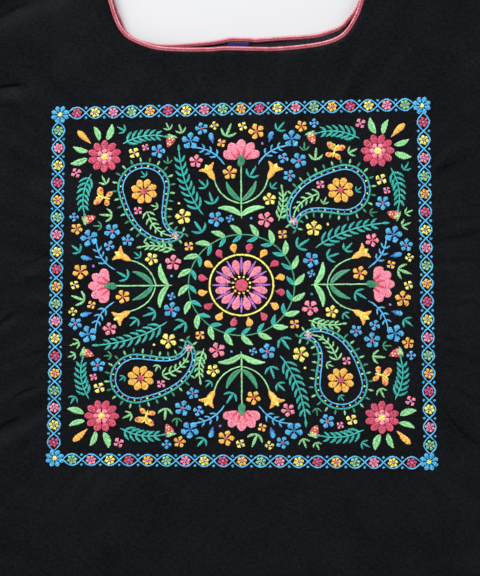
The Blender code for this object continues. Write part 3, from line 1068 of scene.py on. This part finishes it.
def carnation(size, outer, inner, cup):
    """A carnation seen from its side: a fan of petals out of a cup, and narrow ones laid over it."""
    runs = []
    for angle, reach in ((-56, 0.86), (-29, 0.97), (0, 1.0), (29, 0.97), (56, 0.86)):
        spin = turned(angle)
        petal = bow(0.28 * size * spin, reach * size * spin)
        runs += satin(outer, petal, 0.44 * size, drop, slant=6, level=1)
    for angle in (-42, -15, 15, 42):
        spin = turned(angle)
        petal = bow(0.24 * size * spin, 0.68 * size * spin)
        runs += satin(inner, petal, 0.17 * size, almond, slant=10, level=2)
    return runs + satin(cup, bow(-0.12 * size + 0j, 0.36 * size + 0j), 0.34 * size, heart, slant=8, level=3)


def bud(size, thread, cup):
    """A closed flower between two short sepals."""
    runs = satin(thread, bow(0.2 * size + 0j, size + 0j), 0.5 * size, drop, slant=10, level=2)
    for way in (1, -1):
        tip = 0.5 * size * cmath.exp(0.45j * way)
        runs += satin(cup, bow(0, tip, -0.2 * way), 0.2 * size, almond, slant=10, level=3)
    return runs


def frond(thread, path, leaf_length, leaf_width, pairs, lean=48, taper=0.5, start=0.12):
    """A stem with pairs of narrow leaves that grow shorter towards its tip."""
    runs = stem(thread, path)
    fine = spaced(path, 0.5)
    run = np.gradient(fine)
    run /= np.abs(run)
    for index in range(pairs):
        place = int((start + (0.96 - start) * index / pairs) * (len(fine) - 1))
        length = leaf_length * (1 - (1 - taper) * index / pairs)
        for way in (1, -1):
            tip = fine[place] + run[place] * turned(lean * way) * length
            runs += satin(thread, bow(fine[place], tip, 0.10 * way), leaf_width, almond, slant=24 * way)
    tip = fine[-1] + run[-1] * leaf_length * taper
    return runs + satin(thread, bow(fine[-1], tip), leaf_width, almond, slant=20)


def sprig(size, thread):
    """Three leaves from one root, centred on 0."""
    root = -0.8 * size
    runs = satin(thread, bow(root, size + 0j), 0.42 * size, almond, slant=16, level=1)
    for way in (1, -1):
        tip = root + 1.3 * size * cmath.exp(0.9j * way)
        runs += satin(thread, bow(root, tip, 0.1 * way), 0.38 * size, almond, slant=16, level=1)
    return runs


def berries(thread, spots, radius=1.25, level=1):
    dots = [disc(thread, spot, radius, turn=50 * index, level=level) for index, spot in enumerate(spots)]
    return sum(dots, [])


def strawberry(size):
    """A strawberry hanging from its star of sepals, with its pips."""
    runs = satin("crimson", bow(0.1 * size + 0j, size + 0j), 0.72 * size, heart, slant=6, level=1)
    pips = np.array([0.38 + 0.12j, 0.38 - 0.14j, 0.6, 0.78 + 0.09j, 0.78 - 0.1j, 0.22])
    runs += berries("yellow", size * pips, radius=0.5, level=4)
    for angle in (-72, -36, 0, 36, 72):
        sepal = bow(0.08 * size, 0.38 * size * turned(angle))
        runs += satin("leaf_green", sepal, 0.15 * size, almond, slant=12, level=3)
    return runs


def butterfly(size, wing, spot, body):
    """A butterfly seen from above, heading along +X."""
    runs = []
    for way in (1, -1):
        fore = size * turned(52 * way)
        hind = 0.74 * size * turned(118 * way)
        fore_wing = bow(0.16 * size, fore + 0.12 * size, -0.08 * way)
        feeler = bow(0.35 * size, 0.8 * size + 0.24j * size * way, -0.15 * way)
        runs += satin(wing, fore_wing, 0.6 * size, drop, slant=10, level=1)
        runs += satin(wing, bow(0, hind, 0.05 * way), 0.5 * size, drop, slant=10, level=1)
        runs += disc(spot, 0.78 * fore + 0.1 * size, 0.12 * size + 0.3, level=3)
        runs += disc(spot, 0.72 * hind, 0.09 * size + 0.3, turn=60, level=3)
        runs += stem(body, feeler, 0.7, level=1)
    return runs + satin(body, bow(-0.4 * size + 0j, 0.42 * size + 0j), 0.17 * size, almond, slant=8, level=4)


def paisley_spine(length, curl=62, count=60):
    """The middle line of a paisley, straight in its round end and curling ever more towards its tip."""
    share = np.linspace(0, 1, count)
    turning = np.radians(np.cumsum(share**1.3) / np.sum(share**1.3) * curl * 2.0)
    steps = np.exp(1j * (turning - radians(curl * 0.35))) * length / (count - 1)
    return np.concatenate([[0], np.cumsum(steps)[:-1]])


def paisley_outline(length, radius, inset=0.0):
    """The rim of a paisley, or a line set in from it or, below 0, out from it."""
    spine = paisley_spine(length)
    share = np.linspace(0, 1, len(spine))
    reach = np.maximum(radius * (1 - share**1.25) ** 0.9 - inset * (1 - 0.35 * share), 0.05)
    last = np.argmax(reach <= 0.06) or len(spine)
    side = sides(spine) * reach
    spine, side = spine[:last], side[:last]
    cap = spine[0] + reach[0] * np.exp(1j * (np.angle(side[0]) + np.linspace(0, pi, 30)))
    return np.concatenate([(spine + side)[::-1], cap[1:-1], spine - side])


def paisley(length, radius):
    """A paisley with a beaded and fringed rim, and a flower, a frond and a small flower inside it."""
    runs = satin("teal", paisley_outline(length, radius), 1.4, slant=24, level=1)
    runs += stem("sky", paisley_outline(length, radius, inset=3.2), 0.9, level=1)
    fringe = spaced(paisley_outline(length, radius, inset=-1.3), 6.0)
    for index, (spot, way) in enumerate(zip(fringe, -sides(fringe))):
        thread = ("leaf_green", "green")[index % 2]
        runs += satin(thread, bow(spot, spot + 3.2 * way), 1.5, almond, slant=10)
    dots = spaced(paisley_outline(length, radius, inset=1.65), 4.6)
    runs += berries("violet", dots[1:-1:2], radius=0.55, level=2)
    runs += berries("yellow", dots[2:-1:2], radius=0.55, level=2)
    spine = paisley_spine(length)
    runs += moved(blossom(8, radius * 0.5, "amber", "crimson", fullness=0.95, hole=0.2), spine[3])
    runs += frond("leaf_green", spine[20:48], 0.32 * radius, 1.5, pairs=5, lean=50, taper=0.35, start=0.02)
    return runs + moved(blossom(5, 2.4, "pink", "yellow", hole=0.22), spine[52])


# The layout of the embroidered square

def wreathed_flower():
    """A round flower in rings of petals, inside a wreath of leaves."""
    runs = disc("crimson", 0, 4.4, turn=20, level=3)
    runs += berries("yellow", 6.1 * spokes(12, 0.5), radius=0.7, level=4)
    for spin, between in zip(spokes(12), spokes(12, 0.5)):
        runs += satin("pink", bow(7.6 * between, 18.4 * between), 6.0, drop, slant=6, level=2)
        runs += satin("violet", bow(9.5 * spin, 20.2 * spin), 1.8, almond, slant=10, level=3)
    runs += satin("yellow", arc(0, 22.4, count=120), 1.3, slant=26, level=1)
    runs += stem("green", arc(0, WREATH_RADIUS, count=160), 1.0)
    for index, spin in enumerate(spokes(16, 0.5)):
        thread = ("amber", "crimson")[index % 2]
        runs += satin(thread, bow(24.2 * spin, 30.6 * spin), 5.6, drop, slant=8, level=1)
    for root in WREATH_RADIUS * spokes(20):
        ahead = 1j * root / abs(root)
        runs += leaf("leaf_green", root, root + 10.2 * ahead * cmath.exp(-0.72j), 4.0, bend=-0.06, level=1)
        runs += leaf("teal", root, root + 8.0 * ahead * cmath.exp(0.74j), 2.9, bend=0.06, level=1)
    return runs


def side_bouquet():
    """The flowers at the middle of the top side, growing up from the wreath."""
    runs = stem("leaf_green", bow(49j, 90j), 1.1)
    runs += moved(carnation(17, "pink", "crimson", "green"), 90j, turn=90)
    for way in (1, -1):
        tulip_root = way * 19 + 78j
        spray = bow(way * 12 + 89j, way * 32 + 102j, 0.12 * way)
        runs += stem("leaf_green", bow(60j, tulip_root, -0.16 * way), 1.0)
        runs += moved(tulip(12.5, "amber", "yellow"), tulip_root, turn=90 - 30 * way)
        runs += leaf("green", 62j, way * 10.5 + 76j, 3.6, bend=-0.1 * way, level=1)
        runs += leaf("leaf_green", 51j, way * 16 + 57j, 4.0, bend=0.12 * way, level=1)
        runs += frond("sky", spray, 4.6, 1.4, pairs=3, lean=50, taper=0.8, start=0.35)
        runs += moved(blossom(5, 6.0, "sky", "blue"), way * 36 + 107j, turn=90)
        runs += moved(bud(7.6, "sky", "blue"), way * 20 + 105j, turn=90 - 14 * way)
    runs += frond("teal", bow(-27 + 52j, -44 + 99j, 0.07), 8.4, 2.0, pairs=8, lean=40, taper=0.62)
    return runs


def corner_flower():
    """The double flower in the top right corner, and the petal beyond it."""
    middle = 97 + 97j
    runs = moved(blossom(10, 11.6, "crimson", "yellow", fullness=0.95, hole=0.2), middle)
    runs += moved(blossom(6, 5.2, "pink", "yellow", fullness=0.9, hole=0.22, level=4), middle)
    return runs + satin("amber", bow(107 + 107j, 116 + 116j), 4.8, drop, slant=8, level=1)


def corner_side():
    """One of the two mirrored sides of a corner, beside its diagonal."""
    runs = leaf("leaf_green", 95.5 + 109.6j, 92 + 120.5j, 4.6, bend=0.08, level=1)
    runs += leaf("leaf_green", 101 + 109j, 104.5 + 119j, 3.8, bend=0.08, level=1)
    runs += frond("teal", bow(84 + 106j, 55 + 111j, -0.1), 7.6, 2.0, pairs=6, lean=42, taper=0.6)
    return runs + moved(strawberry(9.5), 48.5 + 112j, turn=292)


def beside_paisley():
    """What fills the places on both sides of the top right paisley."""
    runs = moved(butterfly(8.0, "amber", "crimson", "yellow"), 66 + 96j, turn=75)
    return runs + frond("leaf_green", bow(26 + 47j, 29 + 70j, -0.08), 5.8, 1.8, pairs=5, lean=42, taper=0.6)


def border():
    """The top side of the border: two interlaced waves with a small flower in each eye."""
    runs = []
    middle = 1j * BORDER_LINE
    reach = (BORDER_EYES + 0.5) * BORDER_WAVE
    along = np.linspace(-reach, reach, 420)
    for way, level in ((1, 1), (-1, 2)):
        swing = way * BORDER_SWING * np.cos(pi * along / BORDER_WAVE)
        runs += stem("sky", along + middle + 1j * swing, 0.9, level=level)
    for index in range(-BORDER_EYES, BORDER_EYES + 1):
        thread = ("amber", "crimson", "yellow", "pink", "leaf_green")[index % 5]
        flower = blossom(6, 3.3, thread, "violet", fullness=0.9)
        runs += moved(flower, index * BORDER_WAVE + middle, turn=15)
    for index in range(-BORDER_EYES, BORDER_EYES):
        crossing = (index + 0.5) * BORDER_WAVE + middle
        for way in (1, -1):
            runs += disc("sky", crossing + 3.7j * way, 0.8, level=1)
    rosette = blossom(8, 6.2, "sky", "yellow", fullness=0.9, hole=0.2, level=3)
    return runs + moved(rosette, BORDER_CORNER, turn=22.5)


def filler(index, room):
    """A motif for a bare place with this much room round it, and the radius that it takes up."""
    for kind in FILLERS:
        if room > kind.least_room:
            size = min(room - kind.margin, kind.largest)
            thread = kind.threads[index % len(kind.threads)]
            if thread in ("green", "teal", "leaf_green"):
                return sprig(size, thread), size
            return blossom(kind.petals, size, thread, kind.heart), size
    dot = 0.8
    return disc(("violet", "yellow", "sky")[index % 3], 0, dot, turn=45, level=1), 2 * dot


def fillers(runs, half=121.5, least_room=4.3, most=400):
    """Small motifs in the bare places of one quarter, the widest place first, repeated in the other three."""
    axis = np.arange(0, half + 1, 1.0)
    grid = axis[None, :] + 1j * axis[:, None]
    marks = np.concatenate([
        spots for run in runs for spots in (run.starts, (run.starts + run.ends) / 2, run.ends)
    ])
    marks = marks[(marks.real > -9) & (marks.imag > -9)]
    taken = KDTree(len(marks))
    for index, mark in enumerate(marks):
        taken.insert((mark.real, mark.imag, 0), index)
    taken.balance()
    near = np.array([[taken.find((spot.real, spot.imag, 0))[2] for spot in row] for row in grid])
    clear = np.minimum(near, half + 1.5 - np.maximum(grid.real, grid.imag))
    added = []
    for index in range(most):
        place = np.unravel_index(np.argmax(clear), clear.shape)
        if clear[place] < least_room:
            break
        spot = grid[place]
        motif, size = filler(index, clear[place])
        motif = moved(motif, spot, turn=np.degrees(cmath.phase(spot)) + 25 * (index % 3 - 1))
        added += four_ways(motif)
        for turn in range(0, 360, 90):
            here = spot * turned(turn)
            clear = np.minimum(clear, np.abs(grid - here) - size)
    return added


def whole_design():
    """Every stitch of the square, in millimetres from its middle."""
    runs = wreathed_flower()
    runs += four_ways(side_bouquet() + corner_flower() + beside_paisley() + border())
    runs += eight_ways(corner_side())
    runs += four_ways(moved(paisley(length=54, radius=18), 73 + 69j, turn=207))
    return runs + fillers(runs)


# Embroidery in the round

def on_bag(spots):
    """Carries points of the design to their place on the bag's front, both in millimetres."""
    across = 0.5 + spots.real / (2 * DESIGN_HALF)
    up = 0.5 + spots.imag / (2 * DESIGN_HALF)
    low = (1 - across) * BOTTOM_LEFT + across * BOTTOM_RIGHT
    high = (1 - across) * TOP_LEFT + across * TOP_RIGHT
    return (1 - up) * low + up * high


def stitch_tree():
    """Turns each edge of a mesh into one raised stitch of thread, which arches more the longer it is."""
    tree, add, given = new_tree("stitches", {
        "Thread radius": ("NodeSocketFloat", THREAD_RADIUS),
        "Loft": ("NodeSocketFloat", 0.25 * MM),
        "Loft for length": ("NodeSocketFloat", 0.07),
        "Seed": ("NodeSocketInt", 3),
    })
    curves = add("GeometryNodeMeshToCurve", {"Mesh": given["Geometry"]}).outputs["Curve"]
    length = add("GeometryNodeSplineLength").outputs["Length"]
    share = add("GeometryNodeSplineParameter").outputs["Factor"]
    # A stitch has 2 points and 700 more for each metre of it, but from 3 to 5 in all
    count = length
    for operation, other in (("MULTIPLY", 700.0), ("ADD", 2.0), ("MAXIMUM", 3.0), ("MINIMUM", 5.0)):
        count = add("ShaderNodeMath", {0: count, 1: other}, operation=operation).outputs[0]
    stepped = add("GeometryNodeResampleCurve", {"Curve": curves, "Count": count}).outputs[0]
    rest = add("ShaderNodeMath", {0: 1.0, 1: share}, operation="SUBTRACT").outputs[0]
    loft = add("ShaderNodeMath", {
        0: length, 1: given["Loft for length"], 2: given["Loft"],
    }, operation="MULTIPLY_ADD").outputs[0]
    # Share and rest of the way, times 4, make an arch that is 1 high at the middle of the stitch
    rise = share
    for factor in (rest, loft, 4.0):
        rise = add("ShaderNodeMath", {0: rise, 1: factor}, operation="MULTIPLY").outputs[0]
    offset = add("ShaderNodeCombineXYZ", {"Z": rise}).outputs[0]
    arched = add("GeometryNodeSetPosition", {"Geometry": stepped, "Offset": offset}).outputs[0]
    level = add("GeometryNodeSetCurveNormal", {"Curve": arched}, mode="Z_UP").outputs[0]
    # A random value for each stitch, which its material turns into painted light and shade on the thread's
    # colour
    chance = add("FunctionNodeRandomValue", {"Seed": given["Seed"]}, data_type="FLOAT").outputs[1]
    shaded = add(
        "GeometryNodeStoreNamedAttribute", {"Geometry": level, "Name": "shade", "Value": chance},
        data_type="FLOAT", domain="CURVE",
    ).outputs[0]
    ring = add("GeometryNodeCurvePrimitiveCircle", {"Resolution": 3, "Radius": given["Thread radius"]})
    tubes = add("GeometryNodeCurveToMesh", {
        "Curve": shaded, "Profile Curve": ring.outputs["Curve"], "Fill Caps": True,
    }).outputs[0]
    return close_tree(tree, add, tubes, given)


def embroidery(tree):
    """One piece for each colour of thread, its stitches seated on the front cloth."""
    by_thread = defaultdict(list)
    for run in whole_design():
        by_thread[run.thread].append(broken_up(run))
    chance = np.random.default_rng(11)
    pieces = []
    for thread, runs in by_thread.items():
        ends = np.concatenate([np.stack([run.starts, run.ends], axis=1).ravel() for run in runs])
        layers = np.concatenate([np.full(2 * len(run.starts), run.level) for run in runs])
        ends += RAGGED * (chance.standard_normal(len(ends)) + 1j * chance.standard_normal(len(ends)))
        spots = on_bag(ends)
        plan = np.column_stack([spots.real, spots.imag]) * MM
        heights = front_underside(plan, FRONT) + CLOTH + layers * LAYER
        guide = bpy.data.meshes.new("stitches_" + thread)
        edges = [(index, index + 1) for index in range(0, len(ends), 2)]
        guide.from_pydata(np.column_stack([plan, heights]).tolist(), edges, [])
        material = rayon_thread(thread, THREADS[thread])
        pieces.append(grown("embroidery_" + thread, guide, tree, {"Material": material}))
    return pieces


# The stage

def floor():
    """Background paper just below the bag."""
    mesh = bpy.data.meshes.new("floor")
    square = ((-1, -1), (1, -1), (1, 1), (-1, 1))
    corners = [(x * FLOOR_REACH, y * FLOOR_REACH, FLOOR_LEVEL) for x, y in square]
    mesh.from_pydata(corners, [], [(0, 1, 2, 3)])
    mesh.materials.append(backdrop_paper())
    return plain_object("floor", mesh)


def soft_light(light):
    """A square area light aimed at the middle of the view."""
    panel = bpy.data.lights.new(light.name, "AREA")
    panel.size = light.size
    panel.energy = light.power
    obj = plain_object(light.name, panel)
    obj.location = light.place
    obj.rotation_euler = (VIEW_CENTRE - Vector(light.place)).to_track_quat("-Z", "Y").to_euler()


def sky_light(colour, strength):
    """Even light from all round."""
    world = bpy.data.worlds.new("studio")
    world.use_nodes = True
    background = world.node_tree.nodes["Background"]
    background.inputs["Color"].default_value = linear(colour)
    background.inputs["Strength"].default_value = strength
    bpy.context.scene.world = world


def camera():
    """A camera straight above, framed so that one pixel of the picture is one PIXEL at the bag's front."""
    lens = bpy.data.cameras.new("camera")
    lens.sensor_fit = "VERTICAL"
    lens.sensor_height = SENSOR
    lens.lens = SENSOR * CAMERA_DISTANCE / (IMAGE_HEIGHT * PIXEL)
    lens.clip_end = 10
    obj = plain_object("camera", lens)
    obj.location = VIEW_CENTRE + Vector((0, 0, CAMERA_DISTANCE))
    bpy.context.scene.camera = obj


def build_stage():
    floor()
    for light in LIGHTS:
        soft_light(light)
    sky_light("#fafaff", 0.65)
    camera()
    bpy.context.scene.view_settings.view_transform = "Standard"


def build_bag():
    """All the pieces of the bag, each attached to the root body, and the solids that they stand for hidden.
    """
    nylon = woven_nylon("woven_nylon", "#010102", "#101216")
    # The faces towards the inside of the bag are drawn lighter than the outer ones.
    faces = nylon, woven_nylon("lighter_inner_nylon", "#060607", "#24252a")
    thread, core = overlock_thread(), overlock_core_painted_shade()
    creased = np.vstack([crease_points(crease) for crease in SHARP_CREASES])
    front_cloth = cloth_sheet("front_cloth", FRONT, front_underside, FRONT_STEP, "bottom", faces, creased)
    back_cloth = cloth_sheet("back_cloth", BACK, back_underside, BACK_STEP, "top", faces)
    bead = seam_bead(nylon)
    tab = tape_loop(satin_tape())
    lock = overlock_tree()
    front_lock = overlocking("front", edge_lines("front", FRONT, front_underside), lock, thread, core)
    back_lock = overlocking("back", edge_lines("back", BACK, back_underside), lock, thread, core)
    stitching = embroidery(stitch_tree())
    by_slot = {
        "cloth": (front_cloth, back_cloth, bead),
        "edging": (*front_lock, *back_lock),
        "tape": (tab,),
        "embroidery": stitching,
    }
    for slot, pieces in by_slot.items():
        for piece in pieces:
            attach(piece, "root")
    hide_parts("front_panel")
    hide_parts("back_panel")
    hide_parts("tape_tab")
    for side, pieces in (("front", front_lock), ("back", back_lock)):
        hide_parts(*(f"{side}_{edge}_edging" for edge in ("neck", "right_handle", "left_handle")))


build_bag()
build_stage()
